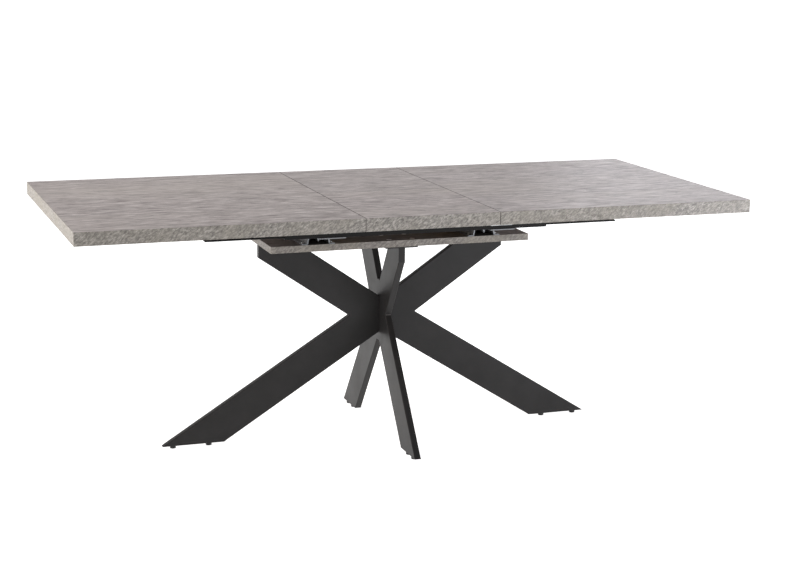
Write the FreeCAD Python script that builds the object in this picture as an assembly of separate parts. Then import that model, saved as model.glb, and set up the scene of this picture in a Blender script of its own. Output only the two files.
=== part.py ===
"""Extendable dining table: two sliding top halves, a folding centre leaf and a chevron-leg pedestal.

Origin: on the floor, under the middle of the table. +X along the length, +Y to the rear, +Z up.
All sizes are in millimetres. The table is drawn extended, with the leaf between its two halves.
"""

import FreeCAD, Part
from FreeCAD import Vector
import math
import os

# ---------------------------------------------------------------- driving dimensions
# whole table
TABLE_HEIGHT = 750.0
TOP_WIDTH = 900.0
HALF_LENGTH = 800.0  # each sliding half, along X
LEAF_LENGTH = 400.0  # space for the leaf between the halves, along X
SEAM_GAP = 0.8  # leaf to each half
FOLD_GAP = 0.6  # between the two parts of the leaf, flat or folded

# boards
BOARD = 22.0  # main board of the top
STRIP = 16.0  # build-up strip under its rim
STRIP_WIDTH = 60.0
BAND = 1.0  # edge band
SUB_TOP_LENGTH = 800.0
SUB_TOP_WIDTH = 380.0
SUB_TOP_BOARD = 20.0
WELL_CLEARANCE = 3.4  # over the folded leaf when it lies on the sub-top

# ledges under the halves' inner edges, which carry the leaf
LEDGE = 3.0
LEDGE_WIDTH = 30.0
LEDGE_SEAT = 40.0  # screwed under its half
LEDGE_REACH = 25.0  # under the leaf
LEFT_INNER_LEDGE = 80.0  # from the middle, front and rear
RIGHT_INNER_LEDGE = 130.0  # beside the left ones when the table is closed
LEFT_OUTER_LEDGE_INSET = 65.0  # from the top's long edges
RIGHT_OUTER_LEDGE_INSET = 25.0

# concealed hinge barrels of the leaf
HINGE_BARREL_RADIUS = 7.0
HINGE_BARREL_DEPTH = 16.0
HINGE_PLACES = (-130.0, 0.0, 130.0)

# chevron legs, 100 x 20 flat tube
TUBE_WIDTH = 100.0
TUBE_THICKNESS = 20.0
TUBE_WALL = 2.0
LEG_PLATE = 5.0
LEG_PLATE_WIDTH = 100.0
LEG_PLATE_MARGIN = 12.0  # past the tube's mouth
FOOT_PLATE = 3.0
CAP_PLATE = 2.0
# side legs (left and right): reach from the middle, and heights, of the chevron's outer edge
SIDE_TOP_REACH = 388.0
SIDE_NOTCH_REACH = 106.0
SIDE_NOTCH_HEIGHT = 372.0
SIDE_FOOT_REACH = 686.0
# short legs (front and rear)
SHORT_TOP_REACH = 184.0
SHORT_NOTCH_REACH = 66.0
SHORT_NOTCH_HEIGHT = 380.0
SHORT_FOOT_REACH = 346.0
TOP_CUT_HEIGHT = 43.0  # upright cut at the outer top corner of each leg

# floor glides
GLIDE_RADIUS = 9.0
GLIDE_HEIGHT = 8.0
GLIDE_STEM_RADIUS = 3.0
GLIDE_STEM_LENGTH = 9.0
GLIDE_OUTER_INSET = 33.0
GLIDE_INNER_INSET = 46.0

# M-shaped cross beams on the sub-top, with a flat bearer on each
BEAM_PLACE = 257.0  # from the middle, along X
BEAM_HEIGHT = 42.0
BEAM_SHEET = 3.0
BEAM_HALF_WIDTH = 50.0
BEAM_FOOT = 15.0  # width of each foot flange
BEAM_LEAN = 8.0  # how far each outer web leans in
BEAM_PLATEAU = 15.0
BEAM_VALLEY_HEIGHT = 8.0  # underside of the valley over the sub-top
BEAM_END_INSET = 2.0  # from the sub-top's long edges
BEARER = 3.0
BEARER_WIDTH = 76.0
BEARER_MARGIN = 3.0  # past the fixed rails
BEAM_SCREW_INSET = 20.0  # from the beam's ends
BEAM_RIVET_INSET = 30.0
RAIL_RIVET_OFFSET = 22.0  # from the bearer's middle line

# telescopic rails under the top
RAIL_PLACE = 310.0  # from the middle, front and rear
RAIL_LENGTH = 420.0  # moving rail
RAIL_INSET = 2.0  # from the half's inner edge
CHANNEL_WIDTH = 34.0
CHANNEL_HEIGHT = 17.5
CHANNEL_INSET = 4.0  # from the sub-top's ends
CHANNEL_WALL = 2.0
CHANNEL_LIP = 8.0
RAIL_FLANGE_WIDTH = 40.0
RAIL_FLANGE = 3.0
RAIL_WEB = 4.0
RAIL_FOOT_WIDTH = 24.0
RAIL_FOOT = 4.0
SHOE_LENGTH = 60.0
SHOE_CLEARANCE = 0.3
SHOE_FLOOR = 2.0  # nylon under the rail's foot
SHOE_ROOF = 6.0  # nylon over the rail's foot
SHOE_INSETS = (10.0, 126.0)  # from the rail's inner end
RAIL_SCREW_COUNT = 4
RAIL_SCREW_MARGIN = 30.0  # from the rail's ends
RAIL_SCREW_OFFSET = 12.0  # from the rail's middle line, to either side in turn
PACKER_MARGIN = 5.0  # past the flange's edges
PACKER_OVERRUN = 20.0  # past the rail's outer end

# synchroniser: a pinion between two racks
PINION_MODULE = 1.5
PINION_TEETH = 16
PINION_PLACE = 262.0  # rear of the middle
PINION_HEIGHT = 10.0
PINION_PIN_RADIUS = 3.0
PINION_BORE_CLEARANCE = 0.1
PRESSURE_ANGLE = 20.0
RACK_BACKLASH = 0.3
RACK_BODY = 8.0  # behind the teeth
RACK_HEAD_LENGTH = 50.0
RACK_HEAD_INSET = 8.0  # from the half's inner edge
RACK_SCREW_INSET = 10.0  # from the head's ends
RACK_ADDENDUM = 0.85  # modules over the pitch line, short to clear the pinion's root
DEDENDUM = 1.25  # modules under the pitch line
RACK_OVERRUN = 14.0  # past the pinion at each end of the stroke
RACK_DROP = 12.0  # under the top's rim
SYNC_PLATE = 3.0
SYNC_PLATE_LENGTH = 50.0
SYNC_PLATE_MARGIN = 20.0  # past the pinion's middle
PIN_COLLAR_RADIUS = 5.5
PIN_CLIP = 1.5
PIN_END = 3.0  # over the pinion
PINION_END_PLAY = 0.2

# fasteners
SCREW_RADIUS = 2.0
SCREW_HEAD_RADIUS = 4.0
SCREW_HEAD = 2.5
SUNK_HEAD = 2.0  # depth of a countersunk screw's head
LEDGE_SCREW_LENGTH = 15.0
LEDGE_SCREW_INSETS = (10.0, 30.0)  # from the half's inner edge
BEAM_SCREW_LENGTH = 14.0
RAIL_SCREW_LENGTH = 16.0
RACK_SCREW_GRIP = 12.0  # in the rim strip
BOLT_RADIUS = 4.0
BOLT_HEAD_RADIUS = 8.0
BOLT_HEAD = 4.0
BOLT_INSET = 14.0
BOLT_END = 2.0  # under the leg plate
RIVET_RADIUS = 2.4
RIVET_HEAD_RADIUS = 4.6
RIVET_HEAD = 1.5

# ---------------------------------------------------------------- derived values
EDGE = BOARD + STRIP
UNDERSIDE = TABLE_HEIGHT - EDGE
BOARD_BOTTOM = TABLE_HEIGHT - BOARD
BOARD_MIDDLE = TABLE_HEIGHT - BOARD / 2
HALF_INNER = LEAF_LENGTH / 2
HALF_OUTER = HALF_INNER + HALF_LENGTH
STROKE = HALF_INNER  # each half moves in until both meet
LEAF_END = HALF_INNER - SEAM_GAP
TOP_FRONT = TOP_WIDTH / 2
FOLD_EDGE = FOLD_GAP / 2
LEFT_LEDGE_PLACES = (LEFT_INNER_LEDGE, TOP_FRONT - LEFT_OUTER_LEDGE_INSET)
RIGHT_LEDGE_PLACES = (RIGHT_INNER_LEDGE, TOP_FRONT - RIGHT_OUTER_LEDGE_INSET)

WELL_HEIGHT = 2 * EDGE + FOLD_GAP + WELL_CLEARANCE
SUB_TOP_TOP = UNDERSIDE - WELL_HEIGHT
SUB_TOP_BOTTOM = SUB_TOP_TOP - SUB_TOP_BOARD
LEG_TOP = SUB_TOP_BOTTOM - LEG_PLATE
FOOT_BOTTOM = GLIDE_HEIGHT
FOOT_TOP = FOOT_BOTTOM + FOOT_PLATE
POST_HALF = TUBE_THICKNESS / 2

BEAM_TOP = SUB_TOP_TOP + BEAM_HEIGHT
CHANNEL_BOTTOM = BEAM_TOP + BEARER
CHANNEL_FLOOR = CHANNEL_BOTTOM + CHANNEL_WALL
CHANNEL_TOP = CHANNEL_BOTTOM + CHANNEL_HEIGHT
RAIL_START = HALF_INNER + RAIL_INSET
RAIL_END = RAIL_START + RAIL_LENGTH
CHANNEL_END = SUB_TOP_LENGTH / 2 - CHANNEL_INSET
SHOE_BOTTOM = CHANNEL_FLOOR + SHOE_CLEARANCE
RAIL_BOTTOM = SHOE_BOTTOM + SHOE_FLOOR
RAIL_FOOT_TOP = RAIL_BOTTOM + RAIL_FOOT
SHOE_TOP = RAIL_FOOT_TOP + SHOE_ROOF - 2 * SHOE_CLEARANCE
SHOE_WIDTH = CHANNEL_WIDTH - 2 * CHANNEL_WALL - 2 * SHOE_CLEARANCE
BEARER_REACH = RAIL_PLACE + CHANNEL_WIDTH / 2 + BEARER_MARGIN

PITCH_RADIUS = PINION_MODULE * PINION_TEETH / 2
RACK_TOP = UNDERSIDE - RACK_DROP
RACK_BOTTOM = RACK_TOP - PINION_HEIGHT

# which way each leg points, and its own chevron
SIDE_LEG = (SIDE_TOP_REACH, SIDE_NOTCH_REACH, SIDE_NOTCH_HEIGHT, SIDE_FOOT_REACH)
SHORT_LEG = (SHORT_TOP_REACH, SHORT_NOTCH_REACH, SHORT_NOTCH_HEIGHT, SHORT_FOOT_REACH)
LEGS = {
    "right_leg": (0.0, SIDE_LEG),
    "rear_leg": (90.0, SHORT_LEG),
    "left_leg": (180.0, SIDE_LEG),
    "front_leg": (270.0, SHORT_LEG),
}


# ---------------------------------------------------------------- small helpers
def box(x0, x1, y0, y1, z0, z1):
    """A box between two corners, given in either order."""
    low = Vector(min(x0, x1), min(y0, y1), min(z0, z1))
    return Part.makeBox(abs(x1 - x0), abs(y1 - y0), abs(z1 - z0), low)


def rod(radius, base, direction, length):
    """A cylinder from a base point along a direction."""
    return Part.makeCylinder(radius, length, Vector(*base), Vector(*direction))


def prism(points, y0, y1):
    """An outline of (x, z) points, drawn through from y0 to y1."""
    corners = [Vector(x, y0, z) for x, z in points]
    face = Part.Face(Part.makePolygon(corners + corners[:1]))
    return face.extrude(Vector(0, y1 - y0, 0))


def flat_prism(points, z0, z1):
    """An outline of (x, y) points, drawn up from z0 to z1."""
    corners = [Vector(x, y, z0) for x, y in points]
    face = Part.Face(Part.makePolygon(corners + corners[:1]))
    return face.extrude(Vector(0, 0, z1 - z0))


def turned(shape, degrees):
    """A copy turned about the table's upright middle line."""
    copy = shape.copy()
    copy.rotate(Vector(0, 0, 0), Vector(0, 0, 1), degrees)
    return copy


def without(shape, cutters):
    """The shape with every cutter taken away."""
    return shape.cut(Part.makeCompound(cutters)) if cutters else shape


def save(node, solids):
    """Write one node: a single solid, or several separate ones."""
    shape = solids[0] if len(solids) == 1 else Part.makeCompound(solids)
    assert shape.isValid(), node
    shape.exportStep(f"parts/{node}.step")


def pan_screw(x, y, seat, length, up):
    """A pan-head screw whose head seats at a height, with its shank pointing up or down."""
    way = 1.0 if up else -1.0
    shank = rod(SCREW_RADIUS, (x, y, seat), (0, 0, way), length)
    head = rod(SCREW_HEAD_RADIUS, (x, y, seat), (0, 0, -way), SCREW_HEAD)
    return shank.fuse(head).removeSplitter()


# ---------------------------------------------------------------- chevron legs
def chevron(leg):
    """The chevron's lines: the notch, the inner corner, and the unit vectors along both arms."""
    top_reach, notch_reach, notch_height, foot_reach = leg
    notch = Vector(notch_reach, 0, notch_height)
    up = (Vector(top_reach, 0, LEG_TOP - TOP_CUT_HEIGHT) - notch).normalize()
    down = (Vector(foot_reach, 0, FOOT_BOTTOM) - notch).normalize()
    half_angle = up.getAngle(down) / 2
    middle = (up + down).normalize()
    inner = notch - middle * (TUBE_WIDTH / math.sin(half_angle))
    return notch, inner, up, down


def height_on(point, direction, reach):
    """Height of a sloping line at a reach from the middle."""
    return point.z + (reach - point.x) * direction.z / direction.x


def reach_on(point, direction, height):
    """Reach of a sloping line at a height."""
    return point.x + (height - point.z) * direction.x / direction.z


def tube(outer_point, direction, inside):
    """A long flat tube whose outer edge runs through a point; inside points across its width."""
    run = 2 * (TABLE_HEIGHT + SIDE_FOOT_REACH)

    def slab(from_edge, to_edge, half_thickness):
        start = outer_point - direction * run
        end = outer_point + direction * run
        corners = [
            start + inside * from_edge,
            end + inside * from_edge,
            end + inside * to_edge,
            start + inside * to_edge,
        ]
        return prism([(c.x, c.z) for c in corners], -half_thickness, half_thickness)

    skin = slab(0, TUBE_WIDTH, TUBE_THICKNESS / 2)
    hollow = slab(TUBE_WALL, TUBE_WIDTH - TUBE_WALL, TUBE_THICKNESS / 2 - TUBE_WALL)
    return skin.cut(hollow)


def upper_arm(leg):
    """The arm from the middle of the chevron up to the sub-top."""
    notch, inner, up, down = chevron(leg)
    mitre = (notch - inner).normalize()
    end = leg[0] - CAP_PLATE
    inside = Vector(-up.z, 0, up.x)
    clip = [
        (POST_HALF, height_on(notch, mitre, POST_HALF)),
        (notch.x, notch.z),
        (end, height_on(notch, up, end)),
        (end, LEG_TOP),
        (POST_HALF, LEG_TOP),
    ]
    return tube(notch, up, inside).common(prism(clip, -TUBE_THICKNESS, TUBE_THICKNESS))


def lower_arm(leg):
    """The arm from the middle of the chevron down to its foot."""
    notch, inner, up, down = chevron(leg)
    mitre = (notch - inner).normalize()
    inside = Vector(down.z, 0, -down.x)
    clip = [
        (POST_HALF, height_on(notch, mitre, POST_HALF)),
        (notch.x, notch.z),
        (reach_on(notch, down, FOOT_TOP), FOOT_TOP),
        (POST_HALF, FOOT_TOP),
    ]
    return tube(notch, down, inside).common(prism(clip, -TUBE_THICKNESS, TUBE_THICKNESS))


def foot_edge(leg):
    """Inner and outer reach of the foot's flat underside."""
    notch, inner, up, down = chevron(leg)
    return reach_on(inner, down, FOOT_BOTTOM), reach_on(notch, down, FOOT_BOTTOM)


def mouth_start(leg):
    """Reach at which the tube's open top begins."""
    notch, inner, up, down = chevron(leg)
    return max(reach_on(inner, up, LEG_TOP), POST_HALF)


def glide_reaches(leg):
    """Reach of both glides under one foot."""
    inner_end, outer_end = foot_edge(leg)
    return inner_end + GLIDE_INNER_INSET, outer_end - GLIDE_OUTER_INSET


def foot_plate(leg):
    """The plate that closes the tube's foot, with holes for the glides' stems."""
    notch, inner, up, down = chevron(leg)
    outline = [
        (reach_on(inner, down, FOOT_BOTTOM), FOOT_BOTTOM),
        (reach_on(notch, down, FOOT_BOTTOM), FOOT_BOTTOM),
        (reach_on(notch, down, FOOT_TOP), FOOT_TOP),
        (reach_on(inner, down, FOOT_TOP), FOOT_TOP),
    ]
    half = TUBE_THICKNESS / 2
    holes = [
        rod(GLIDE_STEM_RADIUS, (reach, 0, FOOT_BOTTOM), (0, 0, 1), FOOT_PLATE)
        for reach in glide_reaches(leg)
    ]
    return without(prism(outline, -half, half), holes)


def top_cap(leg):
    """The upright plate that closes the tube's outer top corner."""
    notch, inner, up, down = chevron(leg)
    outline = [
        (leg[0] - CAP_PLATE, height_on(notch, up, leg[0] - CAP_PLATE)),
        (leg[0], height_on(notch, up, leg[0])),
        (leg[0], LEG_TOP),
        (leg[0] - CAP_PLATE, LEG_TOP),
    ]
    return prism(outline, -TUBE_THICKNESS / 2, TUBE_THICKNESS / 2)


def bolt_spots(leg):
    """(reach, side) of the four bolts that hold one leg plate."""
    near = mouth_start(leg) - LEG_PLATE_MARGIN + BOLT_INSET
    far = leg[0] - BOLT_INSET
    side = LEG_PLATE_WIDTH / 2 - BOLT_INSET
    return [(reach, s) for reach in (near, far) for s in (-side, side)]


def leg_plate(leg):
    """The plate between a leg and the sub-top."""
    start = mouth_start(leg) - LEG_PLATE_MARGIN
    half = LEG_PLATE_WIDTH / 2
    plate = box(start, leg[0], -half, half, LEG_TOP, SUB_TOP_BOTTOM)
    holes = [rod(BOLT_RADIUS, (r, s, LEG_TOP), (0, 0, 1), LEG_PLATE) for r, s in bolt_spots(leg)]
    return without(plate, holes)


def bolt(reach, side):
    """A countersunk bolt, flush with the sub-top, that ends under the leg plate."""
    length = SUB_TOP_BOARD + LEG_PLATE + BOLT_END
    shank = rod(BOLT_RADIUS, (reach, side, SUB_TOP_TOP), (0, 0, -1), length)
    head_base = Vector(reach, side, SUB_TOP_TOP - BOLT_HEAD)
    head = Part.makeCone(BOLT_RADIUS, BOLT_HEAD_RADIUS, BOLT_HEAD, head_base)
    return shank.fuse(head).removeSplitter()


def leg_bolts():
    """Every bolt between the sub-top and the legs."""
    return [turned(bolt(r, s), angle) for angle, leg in LEGS.values() for r, s in bolt_spots(leg)]


def centre_post():
    """The square bar that all four chevrons are welded to."""
    lows = []
    highs = []
    for _, leg in LEGS.values():
        notch, inner, up, down = chevron(leg)
        highs.append(height_on(inner, up, POST_HALF))
        lows.append(height_on(inner, down, POST_HALF))
    return box(-POST_HALF, POST_HALF, -POST_HALF, POST_HALF, min(lows), max(highs))


def floor_glide(reach):
    """A round glide with a stem that is pressed into the foot plate."""
    pad = rod(GLIDE_RADIUS, (reach, 0, 0), (0, 0, 1), GLIDE_HEIGHT)
    pad = pad.makeFillet(1.5, [e for e in pad.Edges if e.BoundBox.ZMax < 0.1])
    stem = rod(GLIDE_STEM_RADIUS, (reach, 0, GLIDE_HEIGHT), (0, 0, 1), GLIDE_STEM_LENGTH)
    return pad.fuse(stem).removeSplitter()


def make_pedestal():
    """Legs, centre post, plates, caps, bolts and glides."""
    plates = []
    caps = []
    glides = []
    for name, (angle, leg) in LEGS.items():
        save(f"{name}_upper_arm", [turned(upper_arm(leg), angle)])
        save(f"{name}_lower_arm", [turned(lower_arm(leg), angle)])
        plates.append(turned(leg_plate(leg), angle))
        caps += [turned(foot_plate(leg), angle), turned(top_cap(leg), angle)]
        glides += [turned(floor_glide(reach), angle) for reach in glide_reaches(leg)]
    save("centre_post", [centre_post()])
    save("leg_top_plates", plates)
    save("leg_end_caps", caps)
    save("floor_glides", glides)
    save("leg_bolts", leg_bolts())


# ---------------------------------------------------------------- sub-top
def make_sub_top():
    """The fixed board over the legs, with its edge bands."""
    half_length = SUB_TOP_LENGTH / 2
    half_width = SUB_TOP_WIDTH / 2
    z0, z1 = SUB_TOP_BOTTOM, SUB_TOP_TOP
    core = box(BAND - half_length, half_length - BAND, BAND - half_width, half_width - BAND, z0, z1)
    screw_holes = [rod(SCREW_RADIUS, (x, y, z1), (0, 0, -1), SUB_TOP_BOARD) for x, y in beam_screws()]
    long_bands = [
        box(-half_length, half_length, side * (half_width - BAND), side * half_width, z0, z1)
        for side in (-1, 1)
    ]
    end_bands = [
        box(side * (half_length - BAND), side * half_length, BAND - half_width, half_width - BAND, z0, z1)
        for side in (-1, 1)
    ]
    save("sub_top_board", [without(core, leg_bolts() + cut_short(screw_holes))])
    save("sub_top_edge_bands", long_bands + end_bands)


# ---------------------------------------------------------------- cross beams and bearers
def cut_short(holes):
    """Screw holes stop inside the sub-top, at the screws' tips."""
    low = SUB_TOP_TOP - (BEAM_SCREW_LENGTH - BEAM_SHEET)
    keep = box(-SUB_TOP_LENGTH, SUB_TOP_LENGTH, -SUB_TOP_WIDTH, SUB_TOP_WIDTH, low, SUB_TOP_TOP)
    return [hole.common(keep) for hole in holes]


def beam_screws():
    """(x, y) of the screws through the beams' foot flanges."""
    across = BEAM_HALF_WIDTH - BEAM_FOOT / 2
    along = SUB_TOP_WIDTH / 2 - BEAM_END_INSET - BEAM_SCREW_INSET
    places = []
    for side in (-1, 1):
        for flange in (-across, across):
            places += [(side * BEAM_PLACE + flange, y) for y in (-along, 0.0, along)]
    return places


def beam_rivets():
    """(x, y) of the rivets between the bearers and the beams' plateaus."""
    across = plateau_middle()
    along = SUB_TOP_WIDTH / 2 - BEAM_END_INSET - BEAM_RIVET_INSET
    return [
        (side * BEAM_PLACE + plateau, y)
        for side in (-1, 1)
        for plateau in (-across, across)
        for y in (-along, along)
    ]


def lean_width():
    """Thickness of a leaning web, measured level."""
    return BEAM_SHEET * math.hypot(BEAM_LEAN, BEAM_HEIGHT) / BEAM_HEIGHT


def plateau_middle():
    """Distance from a beam's middle line to the middle of each plateau's underside."""
    outer = BEAM_HALF_WIDTH - BEAM_FOOT - BEAM_LEAN
    return outer - (BEAM_PLATEAU + lean_width()) / 2


def beam_outline():
    """The M section as (x, z) points about its own middle line, upper side then underside."""
    t = BEAM_SHEET
    lean = lean_width()
    foot_out = BEAM_HALF_WIDTH
    foot_in = BEAM_HALF_WIDTH - BEAM_FOOT
    top_out = foot_in - BEAM_LEAN
    top_in = top_out - BEAM_PLATEAU
    valley_rise = BEAM_HEIGHT - t - BEAM_VALLEY_HEIGHT
    valley = t * math.hypot(top_in, valley_rise) / top_in  # sheet measured upright in the valley
    upper = [
        (foot_out, 0),
        (foot_out, t),
        (foot_in, t),
        (top_out, BEAM_HEIGHT),
        (top_in, BEAM_HEIGHT),
        (0, BEAM_VALLEY_HEIGHT + valley),
    ]
    under = [
        (foot_in - lean, 0),
        (top_out - lean, BEAM_HEIGHT - t),
        (top_in, BEAM_HEIGHT - t),
        (0, BEAM_VALLEY_HEIGHT),
    ]
    mirrored_upper = [(-x, z) for x, z in reversed(upper[:-1])]
    mirrored_under = [(-x, z) for x, z in under[:-1]]
    return upper + mirrored_upper + mirrored_under + list(reversed(under))


def cross_beam(side):
    """One M beam, standing on the sub-top from front to rear."""
    middle = side * BEAM_PLACE
    outline = [(middle + x, SUB_TOP_TOP + z) for x, z in beam_outline()]
    half = SUB_TOP_WIDTH / 2 - BEAM_END_INSET
    holes = [rod(SCREW_RADIUS, (x, y, SUB_TOP_TOP), (0, 0, 1), BEAM_SHEET) for x, y in beam_screws()]
    holes += [rod(RIVET_RADIUS, (x, y, BEAM_TOP), (0, 0, -1), BEAM_SHEET) for x, y in beam_rivets()]
    return without(prism(outline, -half, half), holes)


def rail_rivets():
    """(x, y) of the rivets between the bearers and the fixed rails."""
    return [
        (side * BEAM_PLACE + offset, rail * RAIL_PLACE)
        for side in (-1, 1)
        for offset in (-RAIL_RIVET_OFFSET, RAIL_RIVET_OFFSET)
        for rail in (-1, 1)
    ]


def bearer(side):
    """The flat bearer that carries both fixed rails past the sub-top."""
    middle = side * BEAM_PLACE
    half = BEARER_WIDTH / 2
    plate = box(middle - half, middle + half, -BEARER_REACH, BEARER_REACH, BEAM_TOP, CHANNEL_BOTTOM)
    spots = beam_rivets() + rail_rivets()
    return without(plate, [rod(RIVET_RADIUS, (x, y, BEAM_TOP), (0, 0, 1), BEARER) for x, y in spots])


def rivet(x, y, low, high):
    """A rivet between two faces, with a flat head on both sides."""
    shank = rod(RIVET_RADIUS, (x, y, low), (0, 0, 1), high - low)
    upper = rod(RIVET_HEAD_RADIUS, (x, y, high), (0, 0, 1), RIVET_HEAD)
    lower = rod(RIVET_HEAD_RADIUS, (x, y, low), (0, 0, -1), RIVET_HEAD)
    return shank.fuse([upper, lower]).removeSplitter()


def sunk_rivet(x, y):
    """A rivet whose upper end is flush with the fixed rail's floor."""
    shank = rod(RIVET_RADIUS, (x, y, BEAM_TOP), (0, 0, 1), CHANNEL_FLOOR - BEAM_TOP)
    lower = rod(RIVET_HEAD_RADIUS, (x, y, BEAM_TOP), (0, 0, -1), RIVET_HEAD)
    return shank.fuse(lower).removeSplitter()


def make_beams():
    """Cross beams, bearers and what fastens them."""
    for side, word in ((-1, "left"), (1, "right")):
        save(f"{word}_cross_beam", [cross_beam(side)])
        save(f"{word}_rail_bearer", [bearer(side)])
    seat = SUB_TOP_TOP + BEAM_SHEET
    screws = [pan_screw(x, y, seat, BEAM_SCREW_LENGTH, up=False) for x, y in beam_screws()]
    save("cross_beam_screws", screws)
    low = BEAM_TOP - BEAM_SHEET
    rivets = [rivet(x, y, low, CHANNEL_BOTTOM) for x, y in beam_rivets()]
    save("bearer_rivets", rivets + [sunk_rivet(x, y) for x, y in rail_rivets()])


# ---------------------------------------------------------------- telescopic rails
def fixed_rail(place):
    """The lipped channel that both moving rails of one side run in."""
    half = CHANNEL_WIDTH / 2
    inner = half - CHANNEL_WALL
    slot = half - CHANNEL_LIP
    outer_box = box(-CHANNEL_END, CHANNEL_END, place - half, place + half, CHANNEL_BOTTOM, CHANNEL_TOP)
    room = box(
        -CHANNEL_END, CHANNEL_END, place - inner, place + inner, CHANNEL_FLOOR, CHANNEL_TOP - CHANNEL_WALL
    )
    mouth = box(-CHANNEL_END, CHANNEL_END, place - slot, place + slot, CHANNEL_FLOOR, CHANNEL_TOP)
    holes = [
        rod(RIVET_RADIUS, (x, y, CHANNEL_BOTTOM), (0, 0, 1), CHANNEL_WALL) for x, y in rail_rivets()
    ]
    return without(outer_box, [room, mouth] + holes)


def rail_section(place):
    """(y, z) outline of the moving rail: a wide flange on top, a web and a foot."""
    flange = RAIL_FLANGE_WIDTH / 2
    web = RAIL_WEB / 2
    foot = RAIL_FOOT_WIDTH / 2
    right = [
        (web, RAIL_FOOT_TOP),
        (foot, RAIL_FOOT_TOP),
        (foot, RAIL_BOTTOM),
    ]
    left = [(-y, z) for y, z in reversed(right)]
    top = [
        (-web, UNDERSIDE - RAIL_FLANGE),
        (-flange, UNDERSIDE - RAIL_FLANGE),
        (-flange, UNDERSIDE),
        (flange, UNDERSIDE),
        (flange, UNDERSIDE - RAIL_FLANGE),
        (web, UNDERSIDE - RAIL_FLANGE),
    ]
    return [(place + y, z) for y, z in right + left + top]


def along_x(outline, x0, x1):
    """An outline of (y, z) points, drawn along X."""
    corners = [Vector(x0, y, z) for y, z in outline]
    face = Part.Face(Part.makePolygon(corners + corners[:1]))
    return face.extrude(Vector(x1 - x0, 0, 0))


def rail_screw_spots(side, place):
    """(x, y) of the screws that hold one moving rail, in a zigzag along its flange."""
    step = (RAIL_LENGTH - 2 * RAIL_SCREW_MARGIN) / (RAIL_SCREW_COUNT - 1)
    spots = []
    for i in range(RAIL_SCREW_COUNT):
        offset = RAIL_SCREW_OFFSET if i % 2 else -RAIL_SCREW_OFFSET
        spots.append((side * (RAIL_START + RAIL_SCREW_MARGIN + i * step), place + offset))
    return spots


def moving_rail(side, place):
    """One moving rail, screwed under a top half."""
    rail = along_x(rail_section(place), side * RAIL_START, side * RAIL_END)
    low = UNDERSIDE - RAIL_FLANGE
    spots = rail_screw_spots(side, place)
    return without(rail, [rod(SCREW_RADIUS, (x, y, low), (0, 0, 1), RAIL_FLANGE) for x, y in spots])


def shoe(side, place, inset):
    """A nylon shoe round the rail's foot, which slides in the fixed rail."""
    half = SHOE_WIDTH / 2
    start = side * (RAIL_START + inset)
    end = start + side * SHOE_LENGTH
    block = box(start, end, place - half, place + half, SHOE_BOTTOM, SHOE_TOP)
    return block.cut(along_x(rail_section(place), start, end))


def make_rails():
    """Both fixed rails; the moving rails, shoes and screws of both halves."""
    save("front_fixed_rail", [fixed_rail(-RAIL_PLACE)])
    save("rear_fixed_rail", [fixed_rail(RAIL_PLACE)])
    for side, word in ((-1, "left"), (1, "right")):
        save(f"{word}_front_moving_rail", [moving_rail(side, -RAIL_PLACE)])
        save(f"{word}_rear_moving_rail", [moving_rail(side, RAIL_PLACE)])
        places = (-RAIL_PLACE, RAIL_PLACE)
        save(f"{word}_rail_shoes", [shoe(side, p, inset) for p in places for inset in SHOE_INSETS])
        spots = [spot for p in places for spot in rail_screw_spots(side, p)]
        low = UNDERSIDE - RAIL_FLANGE
        screws = [pan_screw(x, y, low, RAIL_SCREW_LENGTH, up=True) for x, y in spots]
        save(f"{word}_rail_screws", screws)


# ---------------------------------------------------------------- top boards
def rim_strips(x0, x1, y0, y1, cutters):
    """Four strips under the rim of a rectangle: two along X, and two between them."""
    z0, z1 = UNDERSIDE, BOARD_BOTTOM
    w = STRIP_WIDTH
    strips = [
        box(x0, x1, y0, y0 + w, z0, z1),
        box(x0, x1, y1 - w, y1, z0, z1),
        box(x0, x0 + w, y0 + w, y1 - w, z0, z1),
        box(x1 - w, x1, y0 + w, y1 - w, z0, z1),
    ]
    return [without(strip, cutters) for strip in strips]


def rim_bands(x0, x1, y0, y1, cutters):
    """Four edge bands round a rectangle; the ones along X cover the others' ends."""
    z0, z1 = UNDERSIDE, TABLE_HEIGHT
    bands = [
        box(x0, x1, y0, y0 + BAND, z0, z1),
        box(x0, x1, y1 - BAND, y1, z0, z1),
        box(x0, x0 + BAND, y0 + BAND, y1 - BAND, z0, z1),
        box(x1 - BAND, x1, y0 + BAND, y1 - BAND, z0, z1),
    ]
    return [without(band, cutters) for band in bands]


def packers(side):
    """The strips between the board and the moving rails, from rim strip to rim strip."""
    start = side * (HALF_INNER + BAND + STRIP_WIDTH)
    end = side * (RAIL_END + PACKER_OVERRUN)
    half = RAIL_FLANGE_WIDTH / 2 + PACKER_MARGIN
    blocks = []
    for place in (-RAIL_PLACE, RAIL_PLACE):
        blocks.append(box(start, end, place - half, place + half, UNDERSIDE, BOARD_BOTTOM))
    return blocks


def half_screw_holes(side):
    """The holes that the rail, rack and ledge screws leave in one half's rim strips and packers."""
    holes = []
    for place in (-RAIL_PLACE, RAIL_PLACE):
        for x, y in rail_screw_spots(side, place):
            depth = RAIL_SCREW_LENGTH - RAIL_FLANGE
            holes.append(rod(SCREW_RADIUS, (x, y, UNDERSIDE), (0, 0, 1), depth))
    for x, y in rack_screws(side):
        holes.append(rod(SCREW_RADIUS, (x, y, UNDERSIDE), (0, 0, 1), RACK_SCREW_GRIP))
    for x, y in ledge_screw_spots(side):
        holes.append(rod(SCREW_RADIUS, (x, y, UNDERSIDE), (0, 0, 1), LEDGE_SCREW_LENGTH - LEDGE))
    return holes


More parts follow.
